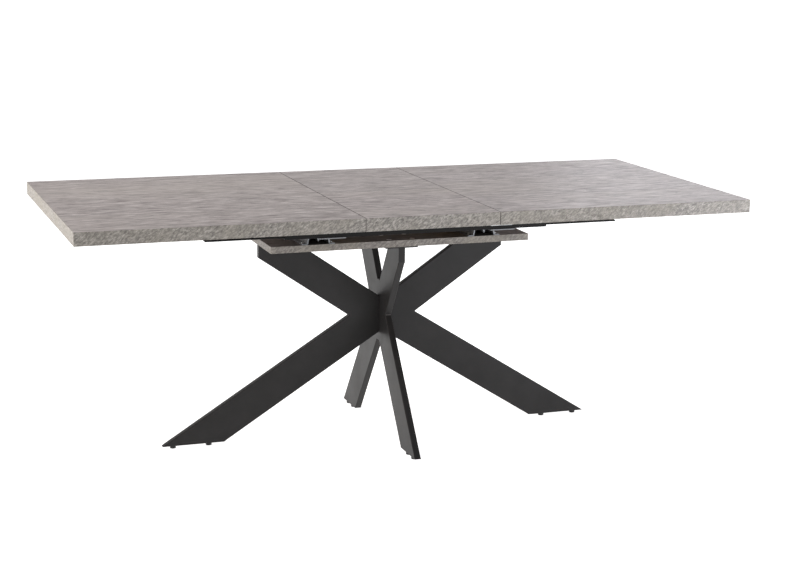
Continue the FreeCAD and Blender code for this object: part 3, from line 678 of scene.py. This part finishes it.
def place_piece(
    mesh: bmesh.types.BMesh,
    name: str,
    body: str,
    finish: Finish,
    replaced: Sequence[str] = (),
    seams: Sequence[tuple[int, float]] = (),
) -> bpy.types.Object:
    """Turns a bmesh into a finished piece.

    Args:
        mesh: The shape, in place; it is freed.
        name: The piece's name.
        body: The CAD body that it rides on.
        finish: Its finish.
        replaced: The CAD nodes that it stands for.
        seams: Axis number and place of each seam; the band faces there get a painted seam shadow.

    Returns:
        The new object.
    """
    # Band faces at a seam take the second slot, the painted seam shadow.
    for face in mesh.faces:
        face.smooth = True
        face.material_index = int(
            any(
                all(abs(point.co[axis] - place) < BAND + TOUCH for point in face.verts)
                for axis, place in seams
            )
        )
    data = bpy.data.meshes.new(name)
    mesh.to_mesh(data)
    mesh.free()
    data.set_sharp_from_angle(angle=SHADE_ANGLE)
    data.materials.append(finish.material())
    if seams:
        data.materials.append(SEAM_SHADOW.material())
    piece = bpy.data.objects.new(name, data)
    bpy.context.scene.collection.objects.link(piece)
    even = piece.modifiers.new("even_shading", "WEIGHTED_NORMAL")
    even.keep_sharp = True
    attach(piece, body)
    if replaced:
        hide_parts(*replaced)
    log.info("%s rides on %s, %s faces, %s", name, body, len(data.polygons), finish.name)
    return piece


def dress(node: str, finish: Finish, rounding: float = 0.0) -> None:
    """Gives a CAD node its finish, and softens its edges where a rounding is given.

    Args:
        node: The node.
        finish: Its finish.
        rounding: Width of the softened edges.
    """
    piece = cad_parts[node]
    for slot in piece.material_slots:
        slot.material = finish.material()
    if rounding:
        weld = piece.modifiers.new("one_skin", "WELD")
        weld.merge_threshold = MERGE
        bevel = piece.modifiers.new("soft_edges", "BEVEL")
        bevel.width = rounding
        bevel.segments = 2
        bevel.limit_method = "ANGLE"
        bevel.angle_limit = CREASE_ANGLE
    log.info("%s keeps its shape, %s", node, finish.name)


def soften(
    node: str,
    body: str,
    finish: Finish,
    radius: float,
    segments: int = 3,
    least: float = 0.0,
    seams: Sequence[tuple[int, float]] = (),
) -> bpy.types.Object:
    """Replaces a CAD node with a copy whose free edges are rounded.

    Args:
        node: The node.
        body: The body that it rides on.
        finish: Its finish.
        radius: Radius of the rounding.
        segments: Steps of the rounding.
        least: Shortest edge that is rounded.
        seams: Where the painted seam shadow goes, as place_piece takes them.

    Returns:
        The new piece.
    """
    near = neighbours(node)
    whole = bmesh.new()
    for mesh in cad_solids(node):
        free = []
        for edge in creases(mesh, least):
            middle = (edge.verts[0].co + edge.verts[1].co) / 2
            if all(tree.find_nearest(middle, TOUCH)[0] is None for tree in near):
                free.append(edge)
        round_edges(mesh, free, radius, segments)
        bmesh.ops.remove_doubles(mesh, verts=mesh.verts[:], dist=MERGE)
        absorb(whole, mesh)
    return place_piece(whole, node + "_softened", body, finish, [node], seams)


def band_ring(
    low: Vector, high: Vector, thickness: float, corner: float, arris: float
) -> bmesh.types.BMesh:
    """A closed edge band round a board, with rounded corners and a broken outer arris.

    Args:
        low: The band's lowest corner.
        high: Its highest corner.
        thickness: The band's thickness, inwards.
        corner: Radius of the upright corners.
        arris: Rounding of the outer top and bottom edges.

    Returns:
        The band as a bmesh.
    """
    mesh = bmesh.new()
    bmesh.ops.create_cube(mesh, size=1.0)
    size, middle = high - low, (low + high) / 2
    bmesh.ops.scale(mesh, verts=mesh.verts, vec=size)
    bmesh.ops.translate(mesh, verts=mesh.verts, vec=middle)
    flats = [face for face in mesh.faces if abs(face.normal.z) > UPRIGHT]
    bmesh.ops.delete(mesh, geom=flats, context="FACES_ONLY")
    uprights = [e for e in mesh.edges if abs((e.verts[0].co - e.verts[1].co).z) > MM]
    round_edges(mesh, uprights, corner, 3)
    bmesh.ops.recalc_face_normals(mesh, faces=mesh.faces)
    bmesh.ops.solidify(mesh, geom=mesh.faces[:], thickness=thickness)
    mesh.normal_update()
    rims = []
    for edge in mesh.edges:
        faces = sorted(edge.link_faces, key=lambda face: abs(face.normal.z))
        tilts = [abs(face.normal.z) for face in faces]
        if len(faces) != 2 or tilts[0] > UPRIGHT or tilts[1] < UPRIGHT:
            continue
        outwards = (edge.verts[0].co + edge.verts[1].co) / 2 - middle
        if faces[0].normal.dot(outwards) > 0:
            rims.append(edge)
    round_edges(mesh, rims, arris, 2)
    return mesh


def weld_bead(
    mesh: bmesh.types.BMesh, start: Vector, end: Vector, width: float, pitch: float
) -> None:
    """Lays a rippled weld bead along a line.

    Args:
        mesh: The mesh that it is added to.
        start: Where the bead starts.
        end: Where it ends.
        width: Its width.
        pitch: From one ripple to the next.
    """
    run = end - start
    steps = max(2, round(run.length / pitch * 2))
    turn = UP.rotation_difference(run).to_matrix().to_4x4()
    ring = bmesh.ops.create_circle(
        mesh, segments=8, radius=width / 2, cap_ends=True, matrix=Matrix.Translation(start) @ turn
    )["verts"]
    loop = [edge for edge in mesh.edges if all(v in ring for v in edge.verts)]
    for step in range(steps):
        grown = bmesh.ops.extrude_edge_only(mesh, edges=loop)["geom"]
        loop = [item for item in grown if isinstance(item, bmesh.types.BMEdge)]
        points = [item for item in grown if isinstance(item, bmesh.types.BMVert)]
        centre = start + run * step / steps
        bmesh.ops.translate(mesh, verts=points, vec=run / steps)
        swell = BEAD_SWELL if step % 2 == 0 else 1 / BEAD_SWELL
        space = Matrix.Translation(-(centre + run / steps))
        bmesh.ops.scale(mesh, verts=points, vec=(swell,) * 3, space=space)
    bmesh.ops.edgeloop_fill(mesh, edges=loop)


# ---------------------------------------------------------------- fasteners
class Head(Enum):
    """The form of a fastener's head."""

    PAN = "pan"
    SUNK = "sunk"
    DOME = "dome"


class Drive(Enum):
    """What the tool fits in a fastener's head."""

    CROSS = "cross"
    HEX = "hex"
    NONE = "none"


@dataclass(frozen=True)
class Fastener:
    """A turned screw, bolt or rivet, built head up from its tip at the origin.

    Sizes are in metres.
    """

    head: Head
    drive: Drive
    shank: float
    head_radius: float
    head_height: float
    far_head: float = 0.0
    segments: int = 24
    drive_radius: float = 0.45  # share of the head's radius
    drive_depth: float = 0.7  # share of the head's height

    def outline(self, length: float) -> list[tuple[float, float]]:
        """Radius and height of the outline, from the tip up to the drive's rim."""
        seat = length - self.head_height
        rim = self.drive_radius * self.head_radius if self.drive is not Drive.NONE else 0.0
        low = self.far_head
        if low:
            tip = [
                (0.0, 0.0),
                (0.55 * self.head_radius, 0.12 * low),
                (0.9 * self.head_radius, 0.5 * low),
                (self.head_radius, low),
                (self.shank, low),
            ]
        else:
            tip = [(0.0, 0.0), (0.7 * self.shank, 0.0), (self.shank, 0.35 * self.shank)]
        if self.head is Head.SUNK:
            top = [
                (self.shank, seat),
                (0.96 * self.head_radius, length - 0.08 * self.head_height),
                (self.head_radius, length - 0.05 * self.head_height),
                (0.97 * self.head_radius, length),
                (rim, length),
            ]
        elif self.head is Head.PAN:
            top = [
                (self.shank, seat),
                (0.97 * self.head_radius, seat),
                (self.head_radius, seat + 0.2 * self.head_height),
                (0.93 * self.head_radius, seat + 0.7 * self.head_height),
                (0.75 * self.head_radius, seat + 0.93 * self.head_height),
                (rim, length),
            ]
        else:
            top = [
                (self.shank, seat),
                (self.head_radius, seat),
                (0.9 * self.head_radius, seat + 0.5 * self.head_height),
                (0.55 * self.head_radius, seat + 0.88 * self.head_height),
                (rim, length),
            ]
        return tip + top

    def reshape(self, angle: float) -> float:
        """How far the drive's wall is drawn in at an angle round the axis."""
        if self.drive is Drive.HEX:
            sixth = math.pi / 3
            return math.cos(sixth / 2) / math.cos(angle % sixth - sixth / 2)
        return 0.3 + 0.7 * abs(math.cos(2 * angle)) ** 4

    def build(self, length: float) -> bmesh.types.BMesh:
        """Turns the outline and sinks the drive into the head.

        Args:
            length: From tip to top.

        Returns:
            The closed fastener.
        """
        mesh = bmesh.new()
        points = [mesh.verts.new((radius, 0, height)) for radius, height in self.outline(length)]
        edges = [mesh.edges.new(pair) for pair in zip(points, points[1:])]
        bmesh.ops.spin(
            mesh,
            geom=points + edges,
            cent=(0, 0, 0),
            axis=(0, 0, 1),
            dvec=(0, 0, 0),
            angle=2 * math.pi,
            steps=self.segments,
            use_merge=True,
            use_duplicate=False,
        )
        bmesh.ops.remove_doubles(mesh, verts=mesh.verts[:], dist=MERGE)
        rim = [edge for edge in mesh.edges if edge.is_boundary]
        if rim:
            grown = bmesh.ops.extrude_edge_only(mesh, edges=rim)["geom"]
            wall = [item for item in grown if isinstance(item, bmesh.types.BMVert)]
            for point in wall:
                point.co.xy *= self.reshape(math.atan2(point.co.y, point.co.x))
            loop = [item for item in grown if isinstance(item, bmesh.types.BMEdge)]
            grown = bmesh.ops.extrude_edge_only(mesh, edges=loop)["geom"]
            floor = [item for item in grown if isinstance(item, bmesh.types.BMVert)]
            depth = Vector((0, 0, -self.drive_depth * self.head_height))
            bmesh.ops.translate(mesh, verts=floor, vec=depth)
            loop = [item for item in grown if isinstance(item, bmesh.types.BMEdge)]
            bmesh.ops.edgeloop_fill(mesh, edges=loop)
            bmesh.ops.remove_doubles(mesh, verts=mesh.verts[:], dist=MERGE)
        bmesh.ops.recalc_face_normals(mesh, faces=mesh.faces)
        return mesh

    def fill(self, node: str, body: str, finish: Finish) -> bpy.types.Object:
        """Puts a detailed fastener in the place of each of a CAD node's solids.

        Args:
            node: The CAD node.
            body: The body that it rides on.
            finish: Its finish.

        Returns:
            One piece with all the fasteners.
        """
        whole = bmesh.new()
        for points in islands(node):
            low, high = extent(points)
            middle = (low + high) / 2
            widest = max((p - middle).xy.length for p in points) - TOUCH
            heights = [p.z for p in points if (p - middle).xy.length > widest]
            head_up = self.far_head > 0 or sum(heights) / len(heights) > middle.z
            single = self.build(high.z - low.z)
            if head_up:
                base = Matrix.Translation((middle.x, middle.y, low.z))
            else:
                flipped = Matrix.Rotation(math.pi, 4, "X")
                base = Matrix.Translation((middle.x, middle.y, high.z)) @ flipped
            bmesh.ops.transform(single, matrix=base, verts=single.verts)
            absorb(whole, single)
        return place_piece(whole, node + "_turned", body, finish, [node])


# ---------------------------------------------------------------- the top
class Side(Enum):
    """The left or the right sliding half."""

    LEFT = "left"
    RIGHT = "right"


@dataclass
class SlidingHalf:
    """One sliding half of the top, with the rails, ledges and rack under it."""

    side: Side
    decor: Finish
    corner: float = 1.2 * MM
    arris: float = 0.5 * MM
    rail_rounding: float = 0.6 * MM
    rail_least: float = 20 * MM  # shorter edges of a rail stay square
    screw: Fastener = Fastener(Head.PAN, Drive.CROSS, 2 * MM, 4 * MM, 2.5 * MM)
    ledge_screw: Fastener = Fastener(Head.SUNK, Drive.CROSS, 2 * MM, 4 * MM, 2 * MM)

    def build(self) -> None:
        """Builds and dresses every node of the half."""
        word = self.side.value
        body = f"{word}_top"
        dress(f"{word}_top_board", self.decor)
        low, high = corners(f"{word}_edge_bands")
        ring = band_ring(low, high, BAND, self.corner, self.arris)
        seam = high.x if self.side is Side.LEFT else low.x
        place_piece(
            ring, f"{word}_edge_band_ring", body, EDGE_DECOR, [f"{word}_edge_bands"], [(0, seam)]
        )
        dress(f"{word}_rim_strips", CHIPBOARD)
        dress(f"{word}_rail_packers", CHIPBOARD, PACKER_EDGE)
        for end in ("front", "rear"):
            rail = f"{word}_{end}_moving_rail"
            soften(rail, body, RAIL_BLACK_AND_SHADE, self.rail_rounding, 2, self.rail_least)
        dress(f"{word}_rail_shoes", NYLON, SHEET_EDGE)
        dress(f"{word}_leaf_ledges", ZINC, LEDGE_EDGE)
        dress(f"{word}_sync_rack", NYLON, TOOTH_EDGE)
        self.screw.fill(f"{word}_rail_screws", body, ZINC)
        self.screw.fill(f"{word}_rack_screws", body, ZINC)
        self.ledge_screw.fill(f"{word}_ledge_screws", body, ZINC)


@dataclass
class Leaf:
    """The folding leaf between the halves, in a front and a rear part."""

    arris: float = 0.5 * MM
    least: float = 30 * MM  # shorter edges of a band stay square
    barrel_rim: float = 0.8 * MM

    def build(self) -> None:
        """Builds and dresses both parts."""
        for word, decor in (("front", LEAF_FRONT_DECOR), ("rear", LEAF_REAR_DECOR)):
            body = f"leaf_{word}"
            bands = f"leaf_{word}_edge_bands"
            low, high = corners(bands)
            fold = high.y if word == "front" else low.y
            seams = ((0, low.x), (0, high.x), (1, fold))
            dress(f"leaf_{word}_board", decor)
            soften(bands, body, EDGE_DECOR, self.arris, 2, self.least, seams)
            dress(f"leaf_{word}_rim_strips", CHIPBOARD)
            dress(f"leaf_{word}_hinge_barrels", HINGE_NICKEL, self.barrel_rim)


def corners(node: str) -> tuple[Vector, Vector]:
    """A CAD node's lowest and highest corner, as vectors."""
    low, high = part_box(node)
    return Vector(low), Vector(high)


# ---------------------------------------------------------------- the sub-top and its beams
@dataclass
class SubTop:
    """The fixed board on the legs, with the folded beams, the bearers and the fixed rails."""

    corner: float = 1.2 * MM
    arris: float = 0.5 * MM
    bend: float = 1.4 * MM
    bend_least: float = 100 * MM  # shorter edges of a beam stay square
    rail_rounding: float = 0.6 * MM
    rail_least: float = 20 * MM
    screw: Fastener = Fastener(Head.PAN, Drive.CROSS, 2 * MM, 4 * MM, 2.5 * MM)
    rivet: Fastener = Fastener(
        Head.DOME, Drive.NONE, 2.4 * MM, 4.6 * MM, 1.5 * MM, far_head=1.5 * MM
    )
    bolt: Fastener = Fastener(
        Head.SUNK, Drive.HEX, 4 * MM, 8 * MM, 4 * MM, drive_radius=0.36, drive_depth=0.75
    )

    def build(self) -> None:
        """Builds and dresses the board, beams, bearers, rails and fasteners."""
        dress("sub_top_board", SHADED_SUB_TOP_DECOR)
        ring = band_ring(*corners("sub_top_edge_bands"), BAND, self.corner, self.arris)
        place_piece(
            ring, "sub_top_edge_band_ring", "pedestal", SHADED_SUB_EDGE_DECOR, ["sub_top_edge_bands"]
        )
        for word in ("left", "right"):
            soften(f"{word}_cross_beam", "pedestal", BEAM_SHEET, self.bend, 3, self.bend_least)
            dress(f"{word}_rail_bearer", BEAM_SHEET, SHEET_EDGE)
        for word in ("front", "rear"):
            rail = f"{word}_fixed_rail"
            soften(rail, "pedestal", RAIL_BLACK_AND_SHADE, self.rail_rounding, 2, self.rail_least)
        self.screw.fill("cross_beam_screws", "pedestal", ZINC)
        self.rivet.fill("bearer_rivets", "pedestal", ZINC)
        self.bolt.fill("leg_bolts", "pedestal", ZINC)


# ---------------------------------------------------------------- the legs
@dataclass
class Legs:
    """Four chevrons of flat tube round a post, with their plates, caps, welds and glides."""

    tube_radius: float = 2.4 * MM
    tube_least: float = 15 * MM  # shorter edges of a tube stay square
    plate_rounding: float = 0.8 * MM
    bead_width: float = 3.0 * MM
    bead_pitch: float = 2.0 * MM
    words: tuple[str, ...] = ("front", "rear", "left", "right")

    def build(self) -> None:
        """Builds the arms, the welds and the glides, and dresses the plates."""
        for word in self.words:
            for arm in ("upper", "lower"):
                node = f"{word}_leg_{arm}_arm"
                soften(node, "pedestal", POWDER, self.tube_radius, 4, self.tube_least)
        dress("centre_post", POWDER, self.plate_rounding)
        dress("leg_top_plates", POWDER, self.plate_rounding)
        dress("leg_end_caps", POWDER, self.plate_rounding / 2)
        self.weld_notches()
        self.build_glides()

    def shared_points(self, first: str, second: str) -> list[Vector]:
        """The corner points that two CAD nodes have in common."""
        ours = {tuple(round(c, 5) for c in v.co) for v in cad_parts[first].data.vertices}
        theirs = {tuple(round(c, 5) for c in v.co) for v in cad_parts[second].data.vertices}
        return [Vector(point) for point in sorted(ours & theirs)]

    def weld_notches(self) -> None:
        """Lays a bead across the tube's edge where the two arms of each leg meet."""
        mesh = bmesh.new()
        for word in self.words:
            shared = self.shared_points(f"{word}_leg_upper_arm", f"{word}_leg_lower_arm")
            reach = max(point.xy.length for point in shared)
            ends = [point for point in shared if point.xy.length > reach - MM]
            start, end = ends[0], ends[-1]
            inset = (end - start).normalized() * self.tube_radius
            weld_bead(mesh, start + inset, end - inset, self.bead_width, self.bead_pitch)
        bmesh.ops.recalc_face_normals(mesh, faces=mesh.faces)
        # The beads' lighter coat is a painted highlight.
        place_piece(mesh, "leg_weld_beads", "pedestal", WELD_HIGHLIGHT_COAT)

    def build_glides(self) -> None:
        """Turns a stepped pad with a groove and a ribbed stem for each glide."""
        whole = bmesh.new()
        for points in islands("floor_glides"):
            low, high = extent(points)
            middle = (low + high) / 2
            radius = (high.x - low.x) / 2
            outline = [
                (0.0, 0.0),
                (0.8 * radius, 0.0),
                (0.93 * radius, 0.5 * MM),
                (radius, 1.6 * MM),
                (radius, 3.4 * MM),
                (0.93 * radius, 3.8 * MM),
                (0.93 * radius, 4.4 * MM),
                (radius, 4.8 * MM),
                (radius, 7.4 * MM),
                (0.95 * radius, 8.0 * MM),
                (3.0 * MM, 8.0 * MM),
                (3.0 * MM, high.z - low.z - 1.0 * MM),
                (2.0 * MM, high.z - low.z),
                (0.0, high.z - low.z),
            ]
            profile = [whole.verts.new((middle.x + r, middle.y, low.z + z)) for r, z in outline]
            edges = [whole.edges.new(pair) for pair in zip(profile, profile[1:])]
            bmesh.ops.spin(
                whole,
                geom=profile + edges,
                cent=middle,
                axis=(0, 0, 1),
                dvec=(0, 0, 0),
                angle=2 * math.pi,
                steps=32,
                use_merge=True,
                use_duplicate=False,
            )
        bmesh.ops.remove_doubles(whole, verts=whole.verts[:], dist=MERGE)
        bmesh.ops.recalc_face_normals(whole, faces=whole.faces)
        place_piece(whole, "floor_glides_turned", "pedestal", BLACK_PLASTIC, ["floor_glides"])


@dataclass
class Synchroniser:
    """The pinion that makes both halves move together, with its pin and plate."""

    def build(self) -> None:
        """Dresses the three nodes; the racks belong to the halves."""
        dress("sync_pinion", NYLON, TOOTH_EDGE)
        dress("sync_pinion_pin", ZINC, PIN_EDGE)
        dress("sync_plate", BEAM_SHEET, SHEET_EDGE)


# ---------------------------------------------------------------- the studio
@dataclass
class Softbox:
    """A rectangular studio light that faces a point."""

    name: str
    at: tuple[float, float, float]
    aim: tuple[float, float, float]
    size: tuple[float, float]
    watts: float
    colour: str = "#ffffff"

    def build(self) -> None:
        """Puts the light in the scene."""
        data = bpy.data.lights.new(self.name, "AREA")
        data.shape = "RECTANGLE"
        data.size, data.size_y = self.size
        data.energy = self.watts
        data.color = linear(self.colour)[:3]
        lamp = bpy.data.objects.new(self.name, data)
        way = Vector(self.aim) - Vector(self.at)
        turn = way.to_track_quat("-Z", "Y").to_matrix().to_4x4()
        lamp.matrix_world = Matrix.Translation(self.at) @ turn
        lamp.visible_camera = False
        bpy.context.scene.collection.objects.link(lamp)


@dataclass
class Studio:
    """A white floor, soft light from the left, above, behind and the right, and the camera."""

    camera_at: tuple[float, float, float] = (-1.6868, -4.9404, 1.5764)
    yaw: float = 19.341  # degrees from the table's +Y towards its +X
    pitch: float = 12.181  # degrees under the horizon
    roll: float = 0.648
    lens: float = 79.5
    sensor: float = 36.0  # millimetres
    far: float = 200.0
    floor_size: float = 120.0
    floor_colour: str = "#f4f4f4"
    floor_glow: float = 0.85
    sky: float = 0.34
    lights: tuple[Softbox, ...] = field(
        default_factory=lambda: (
            Softbox("key_left", (-3.8, 0.3, 1.4), (0.0, 0.0, 0.45), (1.6, 1.6), 106.0, "#fffaf5"),
            Softbox("overhead", (0.0, 0.2, 3.3), (0.0, 0.0, 0.7), (3.0, 2.0), 29.0),
            Softbox("back_wall", (0.6, 3.8, 1.3), (0.0, 0.0, 0.8), (5.5, 2.2), 16.0),
            Softbox("sheen_right", (3.3, 3.2, 1.7), (0.7, 0.0, 0.75), (2.4, 1.6), 20.0, "#f8f8ff"),
            Softbox("fill_right", (2.3, -2.0, 0.5), (0.9, -0.3, 0.5), (1.2, 0.7), 38.0, "#f6f8ff"),
        )
    )

    def build(self) -> None:
        """Builds the floor, world, lights and camera."""
        self.build_floor()
        world = bpy.data.worlds.new("studio")
        world.use_nodes = True
        tree = world.node_tree
        tree.nodes.clear()
        sky = add_node(
            tree, "ShaderNodeBackground", {"Color": linear("#ffffff"), "Strength": self.sky}
        )
        add_node(tree, "ShaderNodeOutputWorld", {"Surface": sky.outputs[0]})
        bpy.context.scene.world = world
        for light in self.lights:
            light.build()
        self.build_camera()
        bpy.context.scene.view_settings.view_transform = "Standard"

    def build_floor(self) -> None:
        """Lays the floor under the glides."""
        mesh = bmesh.new()
        bmesh.ops.create_grid(mesh, x_segments=1, y_segments=1, size=self.floor_size / 2)
        data = bpy.data.meshes.new("floor")
        mesh.to_mesh(data)
        mesh.free()
        paper = bpy.data.materials.new("studio_paper")
        paper.use_nodes = True
        shader = paper.node_tree.nodes["Principled BSDF"]
        shader.inputs["Base Color"].default_value = linear(self.floor_colour)
        shader.inputs["Roughness"].default_value = 0.9
        shader.inputs["Emission Color"].default_value = linear("#ffffff")
        shader.inputs["Emission Strength"].default_value = self.floor_glow
        data.materials.append(paper)
        floor = bpy.data.objects.new("floor", data)
        bpy.context.scene.collection.objects.link(floor)

    def build_camera(self) -> None:
        """Aims the camera."""
        data = bpy.data.cameras.new("camera")
        data.lens = self.lens
        data.sensor_width = self.sensor
        data.clip_end = self.far
        camera = bpy.data.objects.new("camera", data)
        turn = (
            Matrix.Rotation(math.radians(-self.yaw), 4, "Z")
            @ Matrix.Rotation(math.radians(90 - self.pitch), 4, "X")
            @ Matrix.Rotation(math.radians(self.roll), 4, "Z")
        )
        camera.matrix_world = Matrix.Translation(self.camera_at) @ turn
        bpy.context.scene.collection.objects.link(camera)
        bpy.context.scene.camera = camera


def main() -> None:
    """Builds every sub-assembly, then the studio."""
    logging.basicConfig(level=logging.INFO, format="%(message)s")
    SlidingHalf(Side.LEFT, LEFT_DECOR).build()
    SlidingHalf(Side.RIGHT, RIGHT_DECOR).build()
    Leaf().build()
    SubTop().build()
    Legs().build()
    Synchroniser().build()
    Studio().build()


if __name__ == "__main__":
    main()
